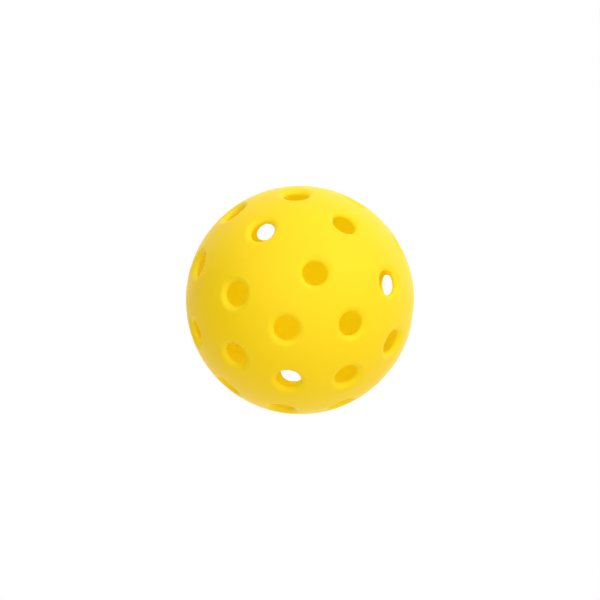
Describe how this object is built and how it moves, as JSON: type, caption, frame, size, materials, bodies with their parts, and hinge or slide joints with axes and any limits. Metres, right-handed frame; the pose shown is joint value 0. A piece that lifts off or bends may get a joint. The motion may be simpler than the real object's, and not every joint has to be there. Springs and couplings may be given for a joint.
{
  "type": "pickleball ball",
  "caption": "Hollow perforated sports ball in satin yellow plastic, moulded as two identical half shells and welded rim to rim on the equator.",
  "frame": {"origin": "the ball's centre", "axes": "+Z through the solid pole of the upper half, +X in the seam plane under a hole of the upper half's polar ring, seam in the XY plane"},
  "size_m": [0.074, 0.074, 0.074],
  "materials": {
    "shell": "satin moulded polyethylene, dyed through",
    "weld": "the same plastic, re-frozen from the melt"
  },
  "bodies": {
    "root": {"upper_half_shell": "shell", "lower_half_shell": "shell", "seam_weld": "weld"}
  },
  "joints": []
}
